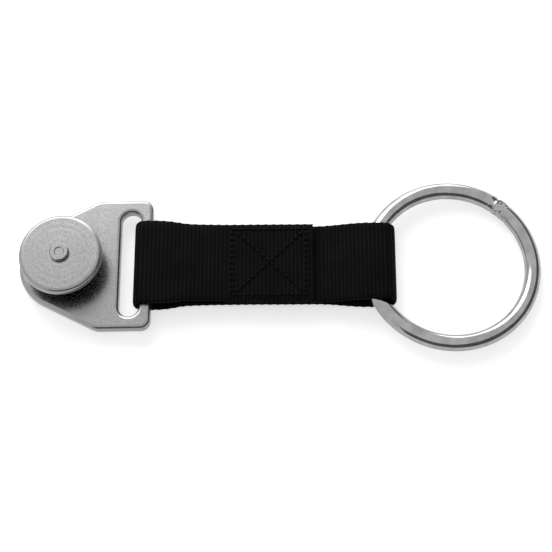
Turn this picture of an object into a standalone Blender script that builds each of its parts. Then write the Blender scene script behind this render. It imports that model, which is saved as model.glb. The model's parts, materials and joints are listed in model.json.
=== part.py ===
"""Key organiser: a button stud riveted to a slotted steel hang plate, a sewn webbing strap, and a welded ring.

Metres, +Z up. The organiser lies on its back with the stud up. +X runs from the stud to the ring, and the
origin is on the resting plane, midway along the whole length. Each moving piece hangs on an empty that
stands on its joint's axis: the strap turns on the plate's bar, the strap bends at both ends of its sewn
part, and the ring slides round through its loop.
"""

import math

import bpy
from mathutils import Vector
from mathutils.geometry import convex_hull_2d

MM = 0.001

# Fits
GAP = 0.3 * MM  # between two pieces that touch, such as layers, shoulders and seats
BAR_CLEARANCE = 0.15 * MM  # between the bar's rounded corners and the loop that turns on it

# Hang plate, measured from the stud's axis
PLATE_THICKNESS = 4.0 * MM
PLATE_EDGE = 1.1 * MM
END_RADIUS = 14.2 * MM
SHOULDER = 9.9 * MM  # where the straight sides end and the taper starts
SHOULDER_RADIUS = 6.0 * MM
CORNER_RADIUS = 3.0 * MM
STUD_TO_SLOT = 16.8 * MM
SLOT_WIDTH = 6.1 * MM
SLOT_PLAY = 4.5 * MM  # from each edge of the webbing to the slot's end
SLOT_END_WALL = 4.0 * MM
BAR_WIDTH = 3.6 * MM

# Button stud
POST_DIAMETER = 12.0 * MM
NECK_HEIGHT = 6.2 * MM  # plate's face to disc's underside
DISC_DIAMETER = 25.0 * MM
DISC_THICKNESS = 3.0 * MM
DISC_EDGE = 0.7 * MM
TOP_TENON_DIAMETER = 4.6 * MM
HEAD_DIAMETER = 5.8 * MM
HEAD_HEIGHT = 0.8 * MM
HEAD_EDGE = 0.35 * MM
DIMPLE_DIAMETER = 3.0 * MM
DIMPLE_DEPTH = 0.25 * MM
FOOT_TENON_DIAMETER = 6.0 * MM

# Webbing strap
WEBBING_WIDTH = 25.0 * MM
WEBBING_THICKNESS = 1.4 * MM
PLATE_LOOP_LENGTH = 21.8 * MM  # bar's axis to the first bend
SEWN_LENGTH = 31.8 * MM  # first bend to second bend
RING_LOOP_LENGTH = 18.4 * MM  # second bend to the fold round the ring
TOP_LAYER_SHORT = 0.85 * MM  # from the sewn part's end to the top layer's cut end
INNER_LAYER_SHORT = 0.8 * MM  # from the sewn part's other end to the inner layer's cut end

# Stitching
STITCH_WIDTH = 0.8 * MM
STITCH_HEIGHT = 0.4 * MM
STITCH_END_INSET = 1.3 * MM
STITCH_SIDE_INSET = 1.8 * MM

# Ring
RING_INSIDE_DIAMETER = 45.0 * MM
RING_WIRE = 5.0 * MM

ARC_STEPS = 12  # points on a quarter or more of an arc in an outline
TURN_STEPS = 48  # faces round a turned piece
RING_STEPS = 96
WIRE_STEPS = 16

# Derived places. The strap's own frame starts at the bar's axis; its inner layer lies on its X axis.
RING_RADIUS = (RING_INSIDE_DIAMETER + RING_WIRE) / 2
SLOT_LENGTH = WEBBING_WIDTH + 2 * SLOT_PLAY
PLATE_WIDTH = SLOT_LENGTH + 2 * SLOT_END_WALL
STUD_TO_BAR = STUD_TO_SLOT + SLOT_WIDTH + BAR_WIDTH / 2
LAYER_PITCH = WEBBING_THICKNESS + GAP
BEND_RADIUS = WEBBING_THICKNESS + GAP / 2  # half of two layers: the round nose at each bend


def bar_reach():
    """The farthest point of the bar's rounded section from its axis."""
    half = Vector((BAR_WIDTH / 2, PLATE_THICKNESS / 2))
    corner = half - Vector((PLATE_EDGE, PLATE_EDGE))
    return max(corner.length + PLATE_EDGE, half.x, half.y)


PLATE_LOOP_INNER = bar_reach() + BAR_CLEARANCE
PLATE_LOOP_OUTER = PLATE_LOOP_INNER + WEBBING_THICKNESS
RING_LOOP_INNER = RING_WIRE / 2 + GAP
RING_LOOP_OUTER = RING_LOOP_INNER + WEBBING_THICKNESS

# The wire bows across the webbing: near the strap's edges it lies nearest to the ring's centre.
WIRE_NEAR = math.sqrt((RING_INSIDE_DIAMETER / 2) ** 2 - (WEBBING_WIDTH / 2) ** 2)
WIRE_FAR = RING_RADIUS + RING_WIRE / 2
FOLD_TO_RING = WIRE_NEAR - GAP + RING_LOOP_INNER
STRAIGHT_LEG = WIRE_FAR - RING_WIRE / 2 + GAP - FOLD_TO_RING  # the legs stay apart over the wire

BEND_1 = PLATE_LOOP_LENGTH
BEND_2 = BEND_1 + SEWN_LENGTH
FOLD = BEND_2 + RING_LOOP_LENGTH
RING_LOOP_DROP = LAYER_PITCH / 2  # the ring's loop is made of the base and inner layers only

# How the pieces lean as they lie on a flat surface: the bar and the wire are held up by the webbing
# under them, while the plate's round end and the ring's far side touch the surface.
BAR_HEIGHT = PLATE_LOOP_OUTER
PLATE_LEAN = math.asin((BAR_HEIGHT - PLATE_THICKNESS / 2) / (STUD_TO_BAR + END_RADIUS - PLATE_EDGE))
STRAP_LEAN = math.asin((RING_LOOP_OUTER + RING_LOOP_DROP - BAR_HEIGHT) / (FOLD - STRAIGHT_LEG))
FOLD_HEIGHT = RING_LOOP_OUTER + STRAIGHT_LEG * math.sin(STRAP_LEAN)
RING_LEAN = math.asin((FOLD_HEIGHT - RING_WIRE / 2) / ((WIRE_NEAR + WIRE_FAR) / 2 + RING_RADIUS))

STUD_TOP = PLATE_THICKNESS / 2 + NECK_HEIGHT + DISC_THICKNESS


def left_reach():
    """How far the plate's end or the leaning disc goes to the left of the bar's axis."""
    plate = math.cos(PLATE_LEAN) * (STUD_TO_BAR + END_RADIUS)
    plate += math.sin(PLATE_LEAN) * (PLATE_THICKNESS / 2 - PLATE_EDGE)
    disc = math.cos(PLATE_LEAN) * (STUD_TO_BAR + DISC_DIAMETER / 2)
    disc += math.sin(PLATE_LEAN) * (STUD_TOP - DISC_EDGE)
    return max(plate, disc)


RING_FROM_BAR = (
    math.cos(STRAP_LEAN) * FOLD
    + math.sin(STRAP_LEAN) * RING_LOOP_DROP
    + math.cos(RING_LEAN) * FOLD_TO_RING
)
RIGHT_REACH = RING_FROM_BAR + math.cos(RING_LEAN) * RING_RADIUS + RING_WIRE / 2
BAR_X = (left_reach() - RIGHT_REACH) / 2
RING_X = BAR_X + RING_FROM_BAR
RING_Z = RING_WIRE / 2 + math.sin(RING_LEAN) * RING_RADIUS


def clear_scene():
    for obj in list(bpy.data.objects):
        bpy.data.objects.remove(obj, do_unlink=True)


def new_collection(name):
    collection = bpy.data.collections.new(name)
    bpy.context.scene.collection.children.link(collection)
    return collection


def metal(name, colour, roughness):
    return surface(name, colour, roughness, 1.0)


def surface(name, colour, roughness, metallic=0.0):
    material = bpy.data.materials.new(name)
    material.use_nodes = True
    shader = material.node_tree.nodes["Principled BSDF"]
    shader.inputs["Base Color"].default_value = (*colour, 1.0)
    shader.inputs["Roughness"].default_value = roughness
    shader.inputs["Metallic"].default_value = metallic
    return material


def new_empty(name, parent=None, location=(0, 0, 0), turn_y=0.0):
    empty = bpy.data.objects.new(name, None)
    empty.empty_display_size = 10 * MM
    empty.location = location
    empty.rotation_euler = (0, turn_y, 0)
    empty.parent = parent
    PARTS.objects.link(empty)
    return empty


def new_part(name, data, material, parent, location=(0, 0, 0)):
    part = bpy.data.objects.new(name, data)
    part.location = location
    part.parent = parent
    data.materials.append(material)
    PARTS.objects.link(part)
    return part


def arc(centre, radius, start, end, steps=ARC_STEPS):
    """Points on an arc, both ends included, angles in radians."""
    turns = [start + (end - start) * i / steps for i in range(steps + 1)]
    return [Vector((centre[0] + radius * math.cos(a), centre[1] + radius * math.sin(a))) for a in turns]


def rounded(corners, steps=ARC_STEPS):
    """An outline through corners of (x, y, radius), each turned into an arc between its two sides."""
    points = []
    for i, (x, y, radius) in enumerate(corners):
        here = Vector((x, y))
        back = (Vector(corners[i - 1][:2]) - here).normalized()
        on = (Vector(corners[(i + 1) % len(corners)][:2]) - here).normalized()
        half_angle = back.angle(on) / 2
        if radius == 0:
            points.append(here)
            continue
        centre = here + (back + on).normalized() * radius / math.sin(half_angle)
        start = here + back * radius / math.tan(half_angle) - centre
        sweep = start.angle_signed(here + on * radius / math.tan(half_angle) - centre)
        first = math.atan2(start.y, start.x)
        points += arc(centre, radius, first, first - sweep, steps)
    return points


def around(circles):
    """The outline of a belt drawn tight around circles of (x, y, radius), anticlockwise."""
    points = []
    for x, y, radius in circles:
        points += arc((x, y), radius, 0, 2 * math.pi, 4 * ARC_STEPS)[:-1]
    return [points[i] for i in convex_hull_2d(points)]


def flat_curve(name, outlines, thickness, edge=0.0):
    """A flat plate from closed outlines: the first is the outside, the rest are holes and run clockwise."""
    curve = bpy.data.curves.new(name, "CURVE")
    curve.dimensions = "2D"
    curve.fill_mode = "BOTH"
    curve.extrude = thickness / 2 - edge
    curve.bevel_depth = edge
    curve.bevel_resolution = 2
    curve.offset = -edge
    for points in outlines:
        spline = curve.splines.new("POLY")
        spline.points.add(len(points) - 1)
        for point, place in zip(spline.points, points):
            point.co = (place[0], place[1], 0, 1)
        spline.use_cyclic_u = True
    return curve


def across_strap(name, outlines, material, parent, location=(0, 0, 0)):
    """A solid with this outline in the XZ plane, as wide as the webbing along Y."""
    part = new_part(name, flat_curve(name, outlines, WEBBING_WIDTH), material, parent, location)
    part.rotation_euler = (math.pi / 2, 0, 0)
    return part


def turned(name, profile, material, parent, location=(0, 0, 0)):
    """A solid of revolution about Z. The profile is (radius, z), and runs down its outer side."""
    mesh = bpy.data.meshes.new(name)
    edges = [(i, i + 1) for i in range(len(profile) - 1)]
    mesh.from_pydata([(radius, 0, z) for radius, z in profile], edges, [])
    part = new_part(name, mesh, material, parent, location)
    screw = part.modifiers.new("turn", "SCREW")
    screw.steps = TURN_STEPS
    screw.render_steps = TURN_STEPS
    screw.use_merge_vertices = True
    screw.merge_threshold = 0.001 * MM
    screw.use_smooth_shade = True
    return part


def box(name, low, high, material, parent):
    """A block between two corners, with its own origin at its middle."""
    bpy.ops.mesh.primitive_cube_add(size=1)
    made = bpy.context.object
    size = Vector(high) - Vector(low)
    for vertex in made.data.vertices:
        vertex.co = Vector(a * b for a, b in zip(vertex.co, size))
    part = new_part(name, made.data, material, parent, (Vector(high) + Vector(low)) / 2)
    bpy.data.objects.remove(made, do_unlink=True)
    part.data.name = name
    return part


def plate_outline():
    """Round end about the stud, two tangent tapers, straight sides, and rounded corners at the bar."""
    side = PLATE_WIDTH / 2
    right = STUD_TO_BAR + BAR_WIDTH / 2
    shoulder = Vector((SHOULDER, side))
    touch = math.atan2(side, SHOULDER) + math.acos(END_RADIUS / shoulder.length)
    end = arc((0, 0), END_RADIUS, touch, 2 * math.pi - touch, 4 * ARC_STEPS)
    corners = [
        (end[-1].x, end[-1].y, 0),
        (SHOULDER, -side, SHOULDER_RADIUS),
        (right, -side, CORNER_RADIUS),
        (right, side, CORNER_RADIUS),
        (SHOULDER, side, SHOULDER_RADIUS),
        (end[0].x, end[0].y, 0),
    ]
    return end[1:-1] + rounded(corners)


def slot_outline():
    """A slot with full-round ends, beside the bar."""
    radius = SLOT_WIDTH / 2
    middle = STUD_TO_SLOT + radius
    reach = SLOT_LENGTH / 2 - radius
    points = around([(middle, -reach, radius), (middle, reach, radius)])
    return points[::-1]


def shifted(points, x):
    return [Vector((point[0] + x, point[1])) for point in points]


def make_hang_plate(parent):
    bore = arc((0, 0), FOOT_TENON_DIAMETER / 2 + GAP, 0, 2 * math.pi, 4 * ARC_STEPS)[:0:-1]
    outlines = [shifted(line, -STUD_TO_BAR) for line in (plate_outline(), slot_outline(), bore)]
    curve = flat_curve("hang_plate", outlines, PLATE_THICKNESS, PLATE_EDGE)
    return new_part("hang_plate", curve, STEEL, parent)


def make_knob_post(parent):
    """The post has a tenon at each end: the foot is upset into the plate's bore, the head over the disc."""
    face = PLATE_THICKNESS / 2
    neck = POST_DIAMETER / 2
    foot = FOOT_TENON_DIAMETER / 2
    upset = foot + PLATE_EDGE / 2
    tenon = TOP_TENON_DIAMETER / 2
    head = HEAD_DIAMETER / 2
    head_top = STUD_TOP + GAP + HEAD_HEIGHT
    dimple = DIMPLE_DIAMETER / 2
    profile = [
        (0, head_top - DIMPLE_DEPTH),
        (dimple - DIMPLE_DEPTH, head_top - DIMPLE_DEPTH),
        (dimple, head_top),
        (head - HEAD_EDGE, head_top),
        (head, head_top - HEAD_EDGE),
        (head, STUD_TOP + GAP),
        (tenon, STUD_TOP + GAP),
        (tenon, face + NECK_HEIGHT - GAP),
        (neck, face + NECK_HEIGHT - GAP),
        (neck, face + GAP),
        (foot, face + GAP),
        (foot, PLATE_EDGE - face),
        (upset, GAP / 2 - face),
        (0, GAP / 2 - face),
    ]
    return turned("knob_post", profile, STEEL, parent, (-STUD_TO_BAR, 0, 0))


def make_knob_disc(parent):
    bottom = STUD_TOP - DISC_THICKNESS
    outer = DISC_DIAMETER / 2
    bore = TOP_TENON_DIAMETER / 2 + GAP
    upper = arc((outer - DISC_EDGE, STUD_TOP - DISC_EDGE), DISC_EDGE, math.pi / 2, 0, 3)
    lower = arc((outer - DISC_EDGE, bottom + DISC_EDGE), DISC_EDGE, 0, -math.pi / 2, 3)
    profile = [(bore, STUD_TOP), *upper, *lower, (bore, bottom), (bore, STUD_TOP)]
    return turned("knob_disc", profile, STEEL, parent, (-STUD_TO_BAR, 0, 0))


def make_plate_loop(parent):
    """The strap's end that turns on the bar: a teardrop with a round nose at the first bend."""
    inner_end = BEND_1 - 2 * BEND_RADIUS
    outside = around([(0, 0, PLATE_LOOP_OUTER), (BEND_1, 0, BEND_RADIUS)])
    inside = around([(0, 0, PLATE_LOOP_INNER), (inner_end, 0, GAP)])
    return across_strap("strap_plate_loop", [outside, inside[::-1]], WEBBING, parent)


def make_ring_loop(parent):
    """The strap's end round the ring: straight legs over the bowed wire, then a nose at the second bend."""
    fold = RING_LOOP_LENGTH
    knee = fold - STRAIGHT_LEG
    outside = around([(fold, 0, RING_LOOP_OUTER), (knee, 0, RING_LOOP_OUTER), (0, 0, BEND_RADIUS)])
    inside = around([(fold, 0, RING_LOOP_INNER), (knee, 0, RING_LOOP_INNER), (2 * BEND_RADIUS, 0, GAP)])
    return across_strap("strap_ring_loop", [outside, inside[::-1]], WEBBING, parent)


def make_sewn_layers(parent):
    """Three layers, from the first bend: the base, the inner end, and the top layer with its cut end."""
    start = BEND_RADIUS + GAP
    end = SEWN_LENGTH - BEND_RADIUS - GAP
    half = WEBBING_THICKNESS / 2
    side = WEBBING_WIDTH / 2
    spans = {
        "strap_base_layer": (start, end, -LAYER_PITCH),
        "strap_inner_layer": (start + INNER_LAYER_SHORT, end, 0),
        "strap_top_layer": (start, end - TOP_LAYER_SHORT, LAYER_PITCH),
    }
    for name, (left, right, level) in spans.items():
        box(name, (left, -side, level - half), (right, side, level + half), WEBBING, parent)


def stitch_rectangle():
    """The box of stitches' centre lines: left, right and half its height across the strap."""
    left = BEND_RADIUS + GAP + INNER_LAYER_SHORT + STITCH_END_INSET
    right = SEWN_LENGTH - BEND_RADIUS - GAP - TOP_LAYER_SHORT - STITCH_END_INSET
    return left, right, WEBBING_WIDTH / 2 - STITCH_SIDE_INSET


def make_stitch_box(name, parent, level):
    left, right, side = stitch_rectangle()
    half = STITCH_WIDTH / 2
    outlines = []
    for grow in (half, -half):
        x, y = (left - grow, right + grow), side + grow
        outlines.append([(x[0], -y), (x[1], -y), (x[1], y), (x[0], y)])
    curve = flat_curve(name, [outlines[0], outlines[1][::-1]], STITCH_HEIGHT)
    return new_part(name, curve, THREAD, parent, (0, 0, level))


def make_stitch_cross(name, parent, level):
    """Two diagonals of the box as one X-shaped outline, kept clear of the box's own rows."""
    left, right, side = stitch_rectangle()
    clear = STITCH_WIDTH / 2 + GAP
    x = (right - left) / 2 - clear
    y = side - clear
    run = STITCH_WIDTH / 2 * math.hypot(x, y) / y
    rise = STITCH_WIDTH / 2 * math.hypot(x, y) / x
    corner = [(x - run, y), (x, y), (x, y - rise)]
    quarter = [corner[2], corner[1], corner[0], (0, rise)]
    top_left = [(-a, b) for a, b in quarter[::-1][1:]] + [(-run, 0)]
    bottom = [(-a, -b) for a, b in quarter + top_left]
    points = quarter + top_left + bottom
    curve = flat_curve(name, [points], STITCH_HEIGHT)
    return new_part(name, curve, THREAD, parent, ((left + right) / 2, 0, level))


def make_stitching(parent):
    surface_level = LAYER_PITCH + WEBBING_THICKNESS / 2 + GAP + STITCH_HEIGHT / 2
    for side, level in (("front", surface_level), ("back", -surface_level)):
        make_stitch_box(f"stitch_box_{side}", parent, level)
        make_stitch_cross(f"stitch_cross_{side}", parent, level)


def make_ring(parent):
    bpy.ops.mesh.primitive_torus_add(
        major_radius=RING_RADIUS,
        minor_radius=RING_WIRE / 2,
        major_segments=RING_STEPS,
        minor_segments=WIRE_STEPS,
    )
    made = bpy.context.object
    ring = new_part("ring", made.data, CHROME, parent)
    bpy.data.objects.remove(made, do_unlink=True)
    ring.data.name = "ring"
    ring.data.shade_smooth()
    return ring


clear_scene()
PARTS = new_collection("key_organiser")
STEEL = metal("plated_steel", (0.48, 0.48, 0.48), 0.42)
CHROME = metal("polished_steel", (0.55, 0.55, 0.54), 0.18)
WEBBING = surface("black_webbing", (0.009, 0.009, 0.010), 0.8)
THREAD = surface("black_thread", (0.012, 0.012, 0.013), 0.6)

plate_frame = new_empty("plate_frame", None, (BAR_X, 0, BAR_HEIGHT), -PLATE_LEAN)
strap_frame = new_empty("strap_frame", None, (BAR_X, 0, BAR_HEIGHT), -STRAP_LEAN)
bend_1 = new_empty("bend_1", strap_frame, (BEND_1, 0, 0))
bend_2 = new_empty("bend_2", strap_frame, (BEND_2, 0, -RING_LOOP_DROP))
ring_frame = new_empty("ring_frame", None, (RING_X, 0, RING_Z), RING_LEAN)

make_hang_plate(plate_frame)
make_knob_post(plate_frame)
make_knob_disc(plate_frame)
make_plate_loop(strap_frame)
make_sewn_layers(bend_1)
make_stitching(bend_1)
make_ring_loop(bend_2)
make_ring(ring_frame)
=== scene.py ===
import json
import math
import random

import bpy
from mathutils import Matrix, Vector, noise


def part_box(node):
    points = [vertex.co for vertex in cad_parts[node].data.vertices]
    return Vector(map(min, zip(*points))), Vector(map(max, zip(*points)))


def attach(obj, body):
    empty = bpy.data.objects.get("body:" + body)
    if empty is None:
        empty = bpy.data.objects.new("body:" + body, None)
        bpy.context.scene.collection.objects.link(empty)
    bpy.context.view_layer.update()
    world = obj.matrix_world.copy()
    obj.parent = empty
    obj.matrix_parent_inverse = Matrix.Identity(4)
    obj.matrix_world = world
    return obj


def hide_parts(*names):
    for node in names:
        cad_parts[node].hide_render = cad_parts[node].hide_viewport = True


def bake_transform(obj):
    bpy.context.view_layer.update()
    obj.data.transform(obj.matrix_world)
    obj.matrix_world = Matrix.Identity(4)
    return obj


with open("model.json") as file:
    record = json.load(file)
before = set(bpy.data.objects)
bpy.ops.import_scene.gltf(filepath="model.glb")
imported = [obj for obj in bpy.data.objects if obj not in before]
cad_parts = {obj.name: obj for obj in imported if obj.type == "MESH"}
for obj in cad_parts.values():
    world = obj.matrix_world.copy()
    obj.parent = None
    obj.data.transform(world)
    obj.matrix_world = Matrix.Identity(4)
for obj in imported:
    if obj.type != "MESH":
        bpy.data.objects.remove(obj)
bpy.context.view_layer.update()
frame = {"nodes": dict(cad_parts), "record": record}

MM = 0.001
RECORD = frame["record"]
JOINTS = {joint["name"]: joint for joint in RECORD["behaviour"]["joints"]}
MOUNTS = {mount["name"]: mount for mount in RECORD["mounts"]}
NODES = frame["nodes"]
SCENE = bpy.context.scene
random.seed(7)


def basis(origin, z_axis):
    """A frame at origin whose z is z_axis and whose y is the world's."""
    z = Vector(z_axis).normalized()
    y = Vector((0, 1, 0))
    x = y.cross(z).normalized()
    return Matrix((
        (x.x, y.x, z.x, origin[0]),
        (x.y, y.y, z.y, origin[1]),
        (x.z, y.z, z.z, origin[2]),
        (0, 0, 0, 1),
    ))


# The CAD's own places: the bar's axis, the two bends, the ring's centre, the plate's lean
BAR = Vector(JOINTS["strap_pivot"]["pos_m"])
ALONG = (Vector(JOINTS["strap_bend_plate"]["pos_m"]) - BAR).normalized()
STRAP = basis(BAR, ALONG.cross(Vector((0, 1, 0))))
RING = basis(JOINTS["ring_spin"]["pos_m"], JOINTS["ring_spin"]["axis"])
PLATE = basis(BAR, [-v for v in MOUNTS["plate_back"]["axis"]])
IN_PLATE = PLATE.inverted()
POST_LOW, POST_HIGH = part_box("knob_post")
POST_MIDDLE = Vector([(a + b) / 2 for a, b in zip(POST_LOW, POST_HIGH)])
STUD_X = (IN_PLATE @ POST_MIDDLE).x

RIB = 1.2 * MM  # from one rib of the webbing to the next
TOOL_MARK = 0.55 * MM  # from one turning mark on the disc to the next


# ---------------------------------------------------------------- materials

class Nodes:
    """A short way to write a node material."""

    def __init__(self, name):
        self.material = bpy.data.materials.new(name)
        self.material.use_nodes = True
        self.tree = self.material.node_tree
        self.shader = self.tree.nodes["Principled BSDF"]

    def node(self, kind, inputs=None, **settings):
        made = self.tree.nodes.new(kind)
        for key, value in settings.items():
            setattr(made, key, value)
        for key, value in (inputs or {}).items():
            self.put(made.inputs[key], value)
        return made

    def put(self, socket, value):
        if isinstance(value, bpy.types.NodeSocket):
            self.tree.links.new(value, socket)
        else:
            socket.default_value = value

    def noise(self, place, scale, detail=3.0, roughness=0.55):
        inputs = {"Scale": scale, "Detail": detail, "Roughness": roughness}
        made = self.node("ShaderNodeTexNoise", inputs)
        self.put(made.inputs["Vector"], place)
        return made.outputs["Fac"]

    def ramp(self, value, stops):
        made = self.node("ShaderNodeValToRGB", {"Fac": value})
        elements = made.color_ramp.elements
        while len(elements) < len(stops):
            elements.new(0.5)
        for element, (place, colour) in zip(elements, stops):
            element.position = place
            element.color = (*colour, 1)
        return made.outputs["Color"]

    def remap(self, value, low, high, start=0.3, end=0.7):
        inputs = {"Value": value, "From Min": start, "From Max": end,
                  "To Min": low, "To Max": high}
        return self.node("ShaderNodeMapRange", inputs).outputs["Result"]

    def maths(self, operation, first, second=0.0):
        made = self.node("ShaderNodeMath", operation=operation)
        self.put(made.inputs[0], first)
        self.put(made.inputs[1], second)
        return made.outputs[0]

    def bump(self, height, strength, distance, normal=None):
        inputs = {"Height": height, "Strength": strength, "Distance": distance}
        made = self.node("ShaderNodeBump", inputs)
        if normal is not None:
            self.put(made.inputs["Normal"], normal)
        return made.outputs["Normal"]


def grey(value, warm=0.0):
    return (value * (1 + warm), value, value * (1 - warm))


def plated_steel(name, turned_about=None, painted_shade_below=None):
    """Satin zinc-like plate: cloudy and lightly pitted. With painted_shade_below, its colour is
    darkened below that height: painted shade under the disc.
    """
    n = Nodes(name)
    place = n.node("ShaderNodeTexCoord").outputs["Object"]
    clouds = n.noise(place, 160.0, 4.0, 0.6)
    flecks = n.noise(place, 1500.0, 4.0, 0.7)
    grain = n.noise(place, 5200.0, 2.0, 0.6)
    tone = n.maths("ADD", n.maths("MULTIPLY", clouds, 0.35), n.maths("MULTIPLY", flecks, 0.65))
    n.put(n.shader.inputs["Base Color"], n.ramp(tone, [
        (0.30, grey(0.265, 0.005)), (0.47, grey(0.295)),
        (0.55, grey(0.31)), (0.72, grey(0.345, -0.004)),
    ]))
    if painted_shade_below is not None:
        # painted shade: below the height the base colour is darkened, standing in for the shade
        # under the disc
        height = n.node("ShaderNodeSeparateXYZ", {"Vector": place}).outputs["Z"]
        shade = n.remap(height, 0.16, 1.0, painted_shade_below - 0.2 * MM, painted_shade_below + 0.4 * MM)
        painted_shade_colour = n.node("ShaderNodeVectorMath", operation="SCALE")
        n.put(painted_shade_colour.inputs[0], n.shader.inputs["Base Color"].links[0].from_socket)
        n.put(painted_shade_colour.inputs["Scale"], shade)
        n.put(n.shader.inputs["Base Color"], painted_shade_colour.outputs[0])
    n.put(n.shader.inputs["Roughness"], n.remap(flecks, 0.20, 0.33))
    n.shader.inputs["Metallic"].default_value = 1.0
    normal = n.bump(flecks, 0.14, 0.03 * MM)
    normal = n.bump(grain, 0.2, 0.005 * MM, normal)
    if turned_about is not None:
        shift = n.node("ShaderNodeVectorMath", operation="SUBTRACT")
        n.put(shift.inputs[0], place)
        n.put(shift.inputs[1], turned_about)
        flat = n.node("ShaderNodeVectorMath", operation="MULTIPLY")
        n.put(flat.inputs[0], shift.outputs[0])
        flat.inputs[1].default_value = (1, 1, 0)
        length = n.node("ShaderNodeVectorMath", operation="LENGTH")
        n.put(length.inputs[0], flat.outputs[0])
        rings = n.node("ShaderNodeMath", operation="SINE")
        phase = n.maths("MULTIPLY", length.outputs["Value"], 2 * math.pi / TOOL_MARK)
        n.put(rings.inputs[0], phase)
        normal = n.bump(rings.outputs[0], 0.25, 0.006 * MM, normal)
    n.put(n.shader.inputs["Normal"], normal)
    return n.material


def polished_steel(name):
    """Bright nickel over wire: fine draw marks, small dents and dull spots."""
    n = Nodes(name)
    place = n.node("ShaderNodeTexCoord").outputs["Object"]
    clouds = n.noise(place, 240.0, 3.0, 0.6)
    flecks = n.noise(place, 1500.0, 3.0, 0.7)
    n.put(n.shader.inputs["Base Color"], n.ramp(clouds, [
        (0.32, grey(0.28, 0.01)), (0.5, grey(0.345)), (0.68, grey(0.40)),
    ]))
    n.put(n.shader.inputs["Roughness"], n.remap(flecks, 0.07, 0.17))
    n.shader.inputs["Metallic"].default_value = 1.0
    normal = n.bump(clouds, 0.25, 0.04 * MM)
    normal = n.bump(flecks, 0.2, 0.005 * MM, normal)
    n.put(n.shader.inputs["Normal"], normal)
    return n.material


def webbing(name):
    """Black nylon: yarn bundles along the strip, with painted light and shade that changes from rib
    to rib.
    """
    n = Nodes(name)
    strip = n.node("ShaderNodeUVMap", uv_map="strip").outputs["UV"]
    place = n.node("ShaderNodeTexCoord").outputs["Object"]
    clouds = n.noise(place, 130.0, 3.0, 0.6)
    fibres = n.node("ShaderNodeMapping", {"Scale": (350.0, 5200.0, 1.0)})
    n.put(fibres.inputs["Vector"], strip)
    fibre = n.noise(fibres.outputs["Vector"], 1.0, 3.0, 0.6)
    fuzz = n.noise(place, 3800.0, 2.0, 0.6)
    tone = n.maths("ADD", n.maths("MULTIPLY", clouds, 0.5), n.maths("MULTIPLY", fibre, 0.5))
    n.put(n.shader.inputs["Base Color"], n.ramp(tone, [
        (0.36, (0.0014, 0.0014, 0.0015)), (0.5, (0.003, 0.003, 0.0032)),
        (0.64, (0.0055, 0.0055, 0.006)),
    ]))
    # painted light and shade: the base colour is lightened on the rib tops and darkened in the
    # hollows between them
    split = n.node("ShaderNodeSeparateXYZ", {"Vector": strip})
    wave = n.node("ShaderNodeMath", operation="SINE")
    n.put(wave.inputs[0], n.maths("MULTIPLY", split.outputs["X"], math.pi / RIB))
    rib_painted_light = n.maths("ABSOLUTE", wave.outputs[0])
    shaded = n.node("ShaderNodeVectorMath", operation="SCALE")
    n.put(shaded.inputs[0], n.shader.inputs["Base Color"].links[0].from_socket)
    n.put(shaded.inputs["Scale"], n.remap(rib_painted_light, 0.12, 1.6, 0.35, 1.0))
    n.put(n.shader.inputs["Base Color"], shaded.outputs[0])
    n.put(n.shader.inputs["Roughness"], n.remap(fuzz, 0.62, 0.82))
    n.shader.inputs["Specular IOR Level"].default_value = 0.05
    normal = n.bump(fibre, 0.7, 0.06 * MM)
    normal = n.bump(fuzz, 0.4, 0.03 * MM, normal)
    n.put(n.shader.inputs["Normal"], normal)
    return n.material


def thread(name):
    """Black bonded thread: slightly glossier than the webbing."""
    n = Nodes(name)
    place = n.node("ShaderNodeTexCoord").outputs["Object"]
    fuzz = n.noise(place, 2600.0, 2.0, 0.6)
    n.put(n.shader.inputs["Base Color"], n.ramp(fuzz, [
        (0.35, (0.0012, 0.0012, 0.0013)), (0.65, (0.0035, 0.0035, 0.0038)),
    ]))
    n.put(n.shader.inputs["Roughness"], n.remap(fuzz, 0.42, 0.6))
    n.shader.inputs["Specular IOR Level"].default_value = 0.07
    n.put(n.shader.inputs["Normal"], n.bump(fuzz, 0.5, 0.03 * MM))
    return n.material


PLATED = plated_steel("satin_plate")
STUD_AT = tuple(PLATE @ Vector((STUD_X, 0, 0)))
DISC_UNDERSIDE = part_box("knob_disc")[0][2]
ALL_PAINTED_SHADE_BELOW = 1.0  # a height in metres, above the whole part
TURNED = plated_steel("satin_plate_turned", STUD_AT)
# painted shade: a copy of the plate material darkened all over, for the disc's underside
PAINTED_SHADE_UNDERSIDE = plated_steel("satin_plate_painted_shade_underside", painted_shade_below=ALL_PAINTED_SHADE_BELOW)
# painted shade: the post's colour is darkened below the disc, while its head on top stays bright
POST_STEEL = plated_steel("satin_plate_post_painted_shade_neck", painted_shade_below=DISC_UNDERSIDE + 0.9 * MM)
POLISHED = polished_steel("bright_nickel")
WEBBING = webbing("black_webbing_weave")
THREAD = thread("black_bonded_thread")


def piece(name, vertices, faces, material, smooth=True):
    mesh = bpy.data.meshes.new(name)
    mesh.from_pydata([tuple(v) for v in vertices], [], faces)
    mesh.materials.append(material)
    mesh.polygons.foreach_set("use_smooth", [smooth] * len(mesh.polygons))
    mesh.validate()
    mesh.update()
    made = bpy.data.objects.new(name, mesh)
    SCENE.collection.objects.link(made)
    return made


# ---------------------------------------------------------------- steel: plate, stud, ring

for node, material in (("hang_plate", PLATED), ("knob_post", POST_STEEL)):
    for entry in NODES[node].material_slots:
        entry.link = "OBJECT"
        entry.material = material

TURN_STEPS = 160
DISC_THICKNESS = 3.0 * MM
RING_MIDDLE = 25.0 * MM  # from the ring's centre to the wire's
WIRE_RADIUS = 2.5 * MM
WELD_TURN = math.radians(51)
WELD_PROUDEST = 0.14  # mm, the most that anything stands out of the wire


def arc(centre, radius, start, end, steps):
    turns = [start + (end - start) * i / steps for i in range(steps + 1)]
    return [(centre[0] + radius * math.cos(a), centre[1] + radius * math.sin(a)) for a in turns]


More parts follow.
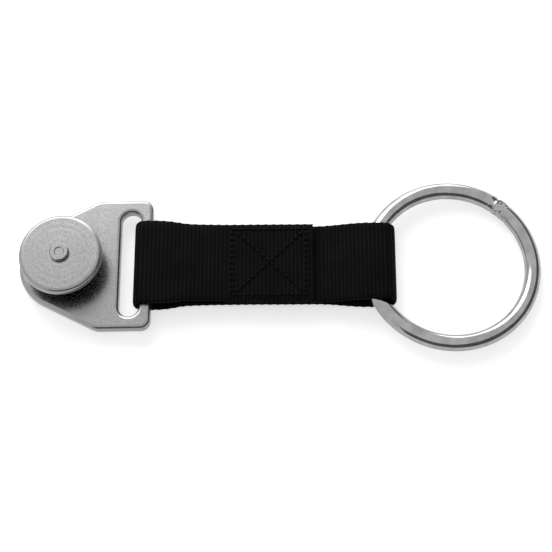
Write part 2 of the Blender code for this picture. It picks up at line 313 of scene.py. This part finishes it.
def lathe(name, profile, matrix, material):
    """A closed profile of (radius, z) turned about matrix's z axis."""
    count = len(profile)
    vertices = []
    for step in range(TURN_STEPS):
        turn = 2 * math.pi * step / TURN_STEPS
        for radius, z in profile:
            vertices.append(matrix @ Vector((radius * math.cos(turn), radius * math.sin(turn), z)))
    faces = []
    for step in range(TURN_STEPS):
        a, b = step * count, ((step + 1) % TURN_STEPS) * count
        for i in range(count):
            j = (i + 1) % count
            faces.append((a + i, a + j, b + j, b + i))
    return piece(name, vertices, faces, material)


def make_disc():
    """The button: a turned disc with a soft rim and shallow tool marks on its face."""
    top = max((IN_PLATE @ vertex.co).z for vertex in NODES["knob_disc"].data.vertices)
    bottom = top - DISC_THICKNESS
    outer, edge, low_edge, bore = 12.5 * MM, 1.25 * MM, 0.7 * MM, 2.6 * MM
    steps = 60
    face = []
    for i in range(steps + 1):
        radius = bore + (outer - edge - bore) * i / steps
        mark = 0.004 * MM * math.sin(radius / (0.31 * MM)) * math.sin(radius / (1.9 * MM))
        face.append((radius, top - 0.02 * MM + mark))
    profile = face
    profile += arc((outer - edge, top - edge), edge, math.pi / 2, 0, 8)[1:]
    rim = len(profile)
    profile += arc((outer - low_edge, bottom + low_edge), low_edge, 0, -math.pi / 2, 6)
    profile += [(bore + (outer - low_edge - bore) * i / 6, bottom) for i in range(5, -1, -1)]
    matrix = PLATE @ Matrix.Translation((STUD_X, 0, 0))
    made = lathe("button_disc", profile, matrix, TURNED)
    # the underside faces take the darkened copy: painted shade under the disc
    made.data.materials.append(PAINTED_SHADE_UNDERSIDE)
    for face in made.data.polygons:
        if face.index % len(profile) > rim + 4:
            face.material_index = 1
    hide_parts("knob_disc")
    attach(made, "hang_plate")


def make_ring():
    """Wire bent to a ring and butt welded: the bead is proud, pitted and notched."""
    around_steps, wire_steps = 420, 40
    vertices = []
    for i in range(around_steps):
        turn = 2 * math.pi * i / around_steps
        off = (turn - WELD_TURN + math.pi) % (2 * math.pi) - math.pi
        along = off * RING_MIDDLE / MM
        radial = Vector((math.cos(turn), math.sin(turn), 0))
        middle = radial * RING_MIDDLE
        for k in range(wire_steps):
            side = 2 * math.pi * k / wire_steps
            out = radial * math.cos(side) + Vector((0, 0, math.sin(side)))
            point = middle + out * WIRE_RADIUS
            # the bead: a low swelling with a rough skin, a notch beside it and nicks on the inside
            rough = noise.noise(point / (0.8 * MM)) * 0.6
            rough += noise.noise(point / (0.35 * MM)) * 0.4
            bead = math.exp(-((along - 0.4) / 2.6) ** 4)
            height = bead * (0.02 + 0.22 * rough)
            ripple = 2 * math.pi * (along + 0.5 * math.sin(side)) / 0.8
            height += 0.12 * bead * math.sin(ripple)
            pit = max(0.0, -noise.noise(point / (0.55 * MM) + Vector((9, 2, 5))) - 0.12)
            height -= bead * pit * 1.5
            groove = math.exp(-((along - 1.9 + 0.3 * math.sin(3 * side)) / 0.32) ** 2)
            height -= 0.42 * groove * (0.6 + 0.4 * math.cos(side - 0.6))
            inner = max(0.0, -math.cos(side)) ** 3
            height -= 0.3 * inner * math.exp(-((along + 4.1) / 0.4) ** 2)
            height -= 0.22 * inner * math.exp(-((along + 1.2) / 0.35) ** 2)
            # the drawn wire isn't perfectly even anywhere
            height += 0.02 * noise.noise(point / (4.0 * MM))
            proud = min(height, WELD_PROUDEST) * MM
            vertices.append(RING @ (middle + out * (WIRE_RADIUS + proud)))
    faces = []
    for i in range(around_steps):
        a, b = i * wire_steps, ((i + 1) % around_steps) * wire_steps
        for k in range(wire_steps):
            m = (k + 1) % wire_steps
            faces.append((a + k, b + k, b + m, a + m))
    made = piece("welded_ring", vertices, faces, POLISHED)
    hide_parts("ring")
    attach(made, "ring")


make_disc()
make_ring()


# ---------------------------------------------------------------- webbing

WIDTH = 25.0 * MM
HALF = 0.7 * MM  # half the webbing's thickness
STEP = 0.2 * MM
ACROSS = 80
ON_BAR = 55.5 * MM  # the length of strip from the cut end to the middle of the bar's loop
ON_BAR_REACH = 14.5 * MM
SPREAD = 1.0 * MM  # how much wider each side is there
CUT_REACH = 0.8  # mm of the cut end that frays

# Places in the strap's frame in mm: x from the bar along the strap, z from its middle
TOP_LAYER, BASE_LAYER, INNER_LAYER = 1.7, -1.7, 0.0
BAR_LOOP = 3.09  # the radius of the strip's middle round the bar
BAR_LOOP_ENDS = 0.3
CUT_END = 50.9
LAYERS_START, LAYERS_END = 26.0, 51.9
MESHES_MEET = 37.0
INNER_END = 24.45
FOLD_X, FOLD_Z, FOLD_LOOP = 72.0, -0.85, 3.5  # the loop that holds the ring
FOLD_STARTS = 67.91


def ease(t):
    t = min(max(t, 0.0), 1.0)
    return t * t * (3 - 2 * t)


def slope(start, end, steps=40):
    """A gentle S from one (x, z) to another."""
    line = []
    for i in range(1, steps + 1):
        t = i / steps
        x = start[0] + (end[0] - start[0]) * t
        line.append((x, start[1] + (end[1] - start[1]) * ease(t)))
    return line


def even(points, step):
    """Points a fixed step apart along the line, the tangent at each, and the line's length."""
    points = [Vector(p) for p in points]
    lengths = [0.0]
    for a, b in zip(points, points[1:]):
        lengths.append(lengths[-1] + (b - a).length)
    count = max(2, round(lengths[-1] / step))
    spaced = []
    at = 0
    for i in range(count + 1):
        want = lengths[-1] * i / count
        while at < len(points) - 2 and lengths[at + 1] < want:
            at += 1
        span = lengths[at + 1] - lengths[at]
        part = (want - lengths[at]) / span if span else 0
        spaced.append(points[at].lerp(points[at + 1], part))
    tangents = []
    for i in range(count + 1):
        tangents.append((spaced[min(i + 2, count)] - spaced[max(i - 2, 0)]).normalized())
    return spaced, tangents, lengths[-1]


def on_bar(along):
    """1 where the strip turns on the bar, where it is rubbed smooth and spreads a little, else 0."""
    return math.exp(-((along - ON_BAR) / ON_BAR_REACH) ** 6)


def weave(along, across):
    """Height of the woven face in metres, at most 0: cross ribs, each broken by the warp bundles."""
    column = across / (WIDTH / 26)
    lane = math.floor(column)
    wander = 0.10 * noise.noise(Vector((along / (6 * MM), across / (5 * MM), 4.0)))
    rib = abs(math.sin(math.pi * (along / RIB + wander + 0.07 * (lane % 2))))
    bundle = abs(math.sin(math.pi * column))
    uneven = noise.noise(Vector((along / (1.7 * MM), across / (1.3 * MM), 0.0)))
    worn = 0.7 * on_bar(along)
    ribs = -0.17 * (1 - worn) * (1 - rib ** 0.6)
    return (ribs - 0.03 * (1 - bundle) + 0.015 * uneven - 0.015) * MM


def strip(name, line, phase, cut_start=False):
    """One length of webbing along a line of (x, z) in the strap's frame.

    phase is the length of strip that comes before it, so the ribs run on.
    """
    places, tangents, length = even(line, STEP)
    vertices, coordinates = [], []
    columns = ACROSS + 1
    for i, (place, tangent) in enumerate(zip(places, tangents)):
        along = phase + length * i / (len(places) - 1)
        normal = Vector((-tangent.y, tangent.x))
        bump = 0.5 + 0.5 * math.cos(2 * math.pi * along / (2 * RIB))
        half_width = WIDTH / 2 - 0.13 * MM * (1 - bump)
        half_width += SPREAD * on_bar(along)
        half_width -= 0.05 * MM * (0.5 + noise.noise(Vector((along / (9 * MM), 3.0, 1.0))))
        for side in (1, -1):
            for j in range(columns):
                part = j / ACROSS * 2 - 1
                part = part if side == 1 else -part
                y = part * half_width
                swell = 1 - 0.5 * abs(part) ** 26
                rib_shift = 0.5 * RIB if side < 0 else 0
                height = HALF * swell + weave(along + rib_shift, y + WIDTH / 2)
                ragged = 0.0
                away = along / MM
                if cut_start and away < CUT_REACH:
                    ragged = 0.16 * noise.noise(Vector((y / (1.1 * MM), 7.0, side * 0.2)))
                    ragged *= 1 - away / CUT_REACH
                point = place + normal * height * side + tangent * ragged * MM
                vertices.append(STRAP @ Vector((point.x, y, point.y)))
                coordinates.append((along, y))
    row = 2 * columns
    faces = []
    for i in range(len(places) - 1):
        a, b = i * row, (i + 1) * row
        for j in range(row):
            k = (j + 1) % row
            faces.append((a + j, a + k, b + k, b + j))
    for start, flip in ((0, True), ((len(places) - 1) * row, False)):
        for j in range(ACROSS):
            quad = (start + j, start + j + 1, start + row - 2 - j, start + row - 1 - j)
            faces.append(quad[::-1] if flip else quad)
    made = piece(name, vertices, faces, WEBBING)
    layer = made.data.uv_layers.new(name="strip")
    flat = []
    for loop in made.data.loops:
        flat += coordinates[loop.vertex_index]
    layer.data.foreach_set("uv", flat)
    return made


def mm(*points):
    return [(x * MM, z * MM) for x, z in points]


def make_strap():
    """One strip in two meshes: round the bar, then round the ring and back between the layers."""
    line = mm((CUT_END, TOP_LAYER), (LAYERS_START, TOP_LAYER))
    line += slope(*mm((LAYERS_START, TOP_LAYER), (BAR_LOOP_ENDS, BAR_LOOP)))
    line += mm(*arc((0, 0), BAR_LOOP, math.pi / 2, 3 * math.pi / 2, 48))
    line += slope(*mm((BAR_LOOP_ENDS, -BAR_LOOP), (LAYERS_START, BASE_LAYER)))
    line += mm((MESHES_MEET, BASE_LAYER))
    plate_end = strip("strap_plate_end_webbing", line, 0.0, cut_start=True)
    used = even(line, STEP)[2]
    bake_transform(plate_end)
    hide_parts("strap_plate_loop", "strap_top_layer", "strap_base_layer")
    line = mm((MESHES_MEET, BASE_LAYER), (LAYERS_END, BASE_LAYER))
    line += slope(*mm((LAYERS_END, BASE_LAYER), (FOLD_STARTS, FOLD_Z - FOLD_LOOP)))
    line += mm(*arc((FOLD_X, FOLD_Z), FOLD_LOOP, -math.pi / 2, math.pi / 2, 56))
    line += slope(*mm((FOLD_STARTS, FOLD_Z + FOLD_LOOP), (LAYERS_END, INNER_LAYER)))
    line += mm((INNER_END, INNER_LAYER))
    ring_end = strip("strap_ring_end_webbing", line, used)
    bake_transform(ring_end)
    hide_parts("strap_ring_loop", "strap_inner_layer")


# ---------------------------------------------------------------- stitching

THREAD_RADIUS = 0.27 * MM
STITCH_LEVEL = 2.4 * MM  # the outer layers' faces, from the strap's middle
STITCH_PITCH = 2.0  # mm
CROSSWAYS_PITCH = 1.9
SHAKE = 0.06 * MM

def stitch(vertices, faces, start, end, side, level):
    """One stitch: a twisted thread that rises out of one hole and sinks into the next."""
    steps, sides = 8, 8
    line = end - start
    across = Vector((-line.y, line.x)).normalized()
    first = len(vertices)
    for i in range(steps + 1):
        t = i / steps
        sink = (2 * t - 1) ** 4
        height = level + (0.17 - 0.42 * sink) * MM
        thick = THREAD_RADIUS * (1 - 0.35 * sink)
        middle = start.lerp(end, t)
        for k in range(sides):
            turn = 2 * math.pi * k / sides + 1.2 * t
            swell = thick * (1 + 0.10 * math.cos(2 * turn + 9 * t))
            spot = middle + across * math.cos(turn) * swell
            z = height + math.sin(turn) * swell * 0.8
            vertices.append(STRAP @ Vector((spot.x, spot.y, side * z)))
    for i in range(steps):
        for k in range(sides):
            m = (k + 1) % sides
            a, b = first + i * sides, first + (i + 1) * sides
            quad = (a + k, b + k, b + m, a + m)
            faces.append(quad if side > 0 else quad[::-1])
    low = tuple(first + k for k in range(sides))
    high = tuple(first + steps * sides + k for k in range(sides))
    faces.append(low if side > 0 else low[::-1])
    faces.append(high[::-1] if side > 0 else high)


def row_of(vertices, faces, start, end, side, pitch=STITCH_PITCH):
    """A straight row of stitches between two places in mm, each shaken a little."""
    start, end = Vector(start) * MM, Vector(end) * MM
    length = (end - start).length
    count = round(length / (pitch * MM))
    unit = (end - start) / count
    for i in range(count):
        a = start + unit * (i + 0.06)
        b = start + unit * (i + 0.94)
        shake = Vector((random.uniform(-1, 1), random.uniform(-1, 1))) * SHAKE
        stitch(vertices, faces, a + shake, b - shake * 0.5, side, STITCH_LEVEL)


def make_stitching():
    left, right, edge = 25.95, 49.5, 10.7
    second_row, clear, cross_in, cross_clear = 0.95, 0.4, 1.6, 0.9
    for side, word in ((1, "front"), (-1, "back")):
        vertices, faces = [], []
        for y in (-edge, edge):
            row_of(vertices, faces, (left, y), (right, y), side)
        for x in (left, left + second_row, right - second_row, right):
            ends = (x, -edge + clear), (x, edge - clear)
            row_of(vertices, faces, *ends, side, CROSSWAYS_PITCH)
        made = piece("stitched_box_" + word, vertices, faces, THREAD)
        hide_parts("stitch_box_" + word)
        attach(made, "strap_sewn_part")
        vertices, faces = [], []
        near, far, reach = left + cross_in, right - cross_in, edge - cross_clear
        row_of(vertices, faces, (near, -edge + cross_clear), (far, reach), side)
        row_of(vertices, faces, (near, reach), (far, -edge + cross_clear), side)
        made = piece("stitched_cross_" + word, vertices, faces, THREAD)
        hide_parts("stitch_cross_" + word)
        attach(made, "strap_sewn_part")


make_strap()
make_stitching()


# ---------------------------------------------------------------- studio

ORIGIN = (0, 0, 0)
FLOOR_REACH = 3
FLOOR_GLOW = 0.56  # for rays from the camera and from reflections, so the paper stays white
WORLD_LIGHT = 0.5  # what the world gives to diffuse surfaces
WORLD_SEEN = 1.0
CARD_GREY = 0.22


def sheet(name, half_width, half_height, material):
    corners = [(-half_width, -half_height, 0), (half_width, -half_height, 0),
               (half_width, half_height, 0), (-half_width, half_height, 0)]
    return piece(name, corners, [(0, 1, 2, 3)], material)


def make_floor():
    n = Nodes("paper")
    n.shader.inputs["Base Color"].default_value = (0.8, 0.8, 0.8, 1)
    n.shader.inputs["Roughness"].default_value = 1.0
    n.shader.inputs["Specular IOR Level"].default_value = 0.0
    path = n.node("ShaderNodeLightPath")
    seen = n.maths("MAXIMUM", path.outputs["Is Camera Ray"], path.outputs["Is Glossy Ray"])
    seen = n.maths("MAXIMUM", seen, path.outputs["Is Transmission Ray"])
    n.put(n.shader.inputs["Emission Strength"], n.maths("MULTIPLY", seen, FLOOR_GLOW))
    n.shader.inputs["Emission Color"].default_value = (1, 1, 1, 1)
    floor = sheet("floor", FLOOR_REACH, FLOOR_REACH, n.material)


def face_origin(made, place):
    made.location = place
    turned = (Vector(ORIGIN) - Vector(place)).to_track_quat("-Z", "Y")
    made.rotation_euler = turned.to_euler()


def lamp(name, place, size, power):
    data = bpy.data.lights.new(name, "AREA")
    data.shape = "DISK"
    data.size = size
    data.energy = power
    made = bpy.data.objects.new(name, data)
    face_origin(made, place)
    SCENE.collection.objects.link(made)


def card(name, place, width, height):
    """A dark card that only reflections see."""
    made = sheet(name, width / 2, height / 2, CARD)
    face_origin(made, place)
    made.visible_camera = False
    made.visible_diffuse = False
    made.visible_shadow = False
    made.visible_transmission = False
    made.visible_volume_scatter = False


def make_world():
    world = bpy.data.worlds.new("studio")
    SCENE.world = world
    world.use_nodes = True
    tree = world.node_tree
    background = tree.nodes["Background"]
    path = tree.nodes.new("ShaderNodeLightPath")
    seen = tree.nodes.new("ShaderNodeMath")
    seen.operation = "MAXIMUM"
    tree.links.new(path.outputs["Is Camera Ray"], seen.inputs[0])
    tree.links.new(path.outputs["Is Glossy Ray"], seen.inputs[1])
    both = tree.nodes.new("ShaderNodeMath")
    both.operation = "MAXIMUM"
    tree.links.new(seen.outputs[0], both.inputs[0])
    tree.links.new(path.outputs["Is Transmission Ray"], both.inputs[1])
    level = tree.nodes.new("ShaderNodeMapRange")
    level.inputs["To Min"].default_value = WORLD_LIGHT
    level.inputs["To Max"].default_value = WORLD_SEEN
    tree.links.new(both.outputs[0], level.inputs["Value"])
    tree.links.new(level.outputs["Result"], background.inputs["Strength"])
    background.inputs["Color"].default_value = (1, 1, 1, 1)


black = Nodes("card")
black.shader.inputs["Base Color"].default_value = (*grey(CARD_GREY), 1)
black.shader.inputs["Specular IOR Level"].default_value = 0.0
CARD = black.material

make_floor()
make_world()
lamp("key", (-0.213, 0.456, 0.327), size=0.54, power=2.3)
lamp("rim", (0.05, 0.55, 0.12), size=0.36, power=0.9)
card("flag_front", (0.0, -0.46, 0.21), width=0.72, height=0.38)
card("flag_corner", (0.33, -0.33, 0.22), width=0.42, height=0.42)
card("flag_side", (0.48, -0.03, 0.19), width=0.42, height=0.34)
card("flag_far_side", (0.41, 0.27, 0.17), width=0.34, height=0.28)

TILT = math.radians(21.5)
DISTANCE = 0.44
TARGET = Vector((-1.3, -3.4, 3.4)) * MM
data = bpy.data.cameras.new("camera")
data.lens = 94.1
data.sensor_width = 36
data.clip_start = 0.01
camera = bpy.data.objects.new("camera", data)
camera.location = TARGET + DISTANCE * Vector((0, -math.sin(TILT), math.cos(TILT)))
camera.rotation_euler = (TILT, 0, 0)
SCENE.collection.objects.link(camera)
SCENE.camera = camera
SCENE.view_settings.view_transform = "Standard"
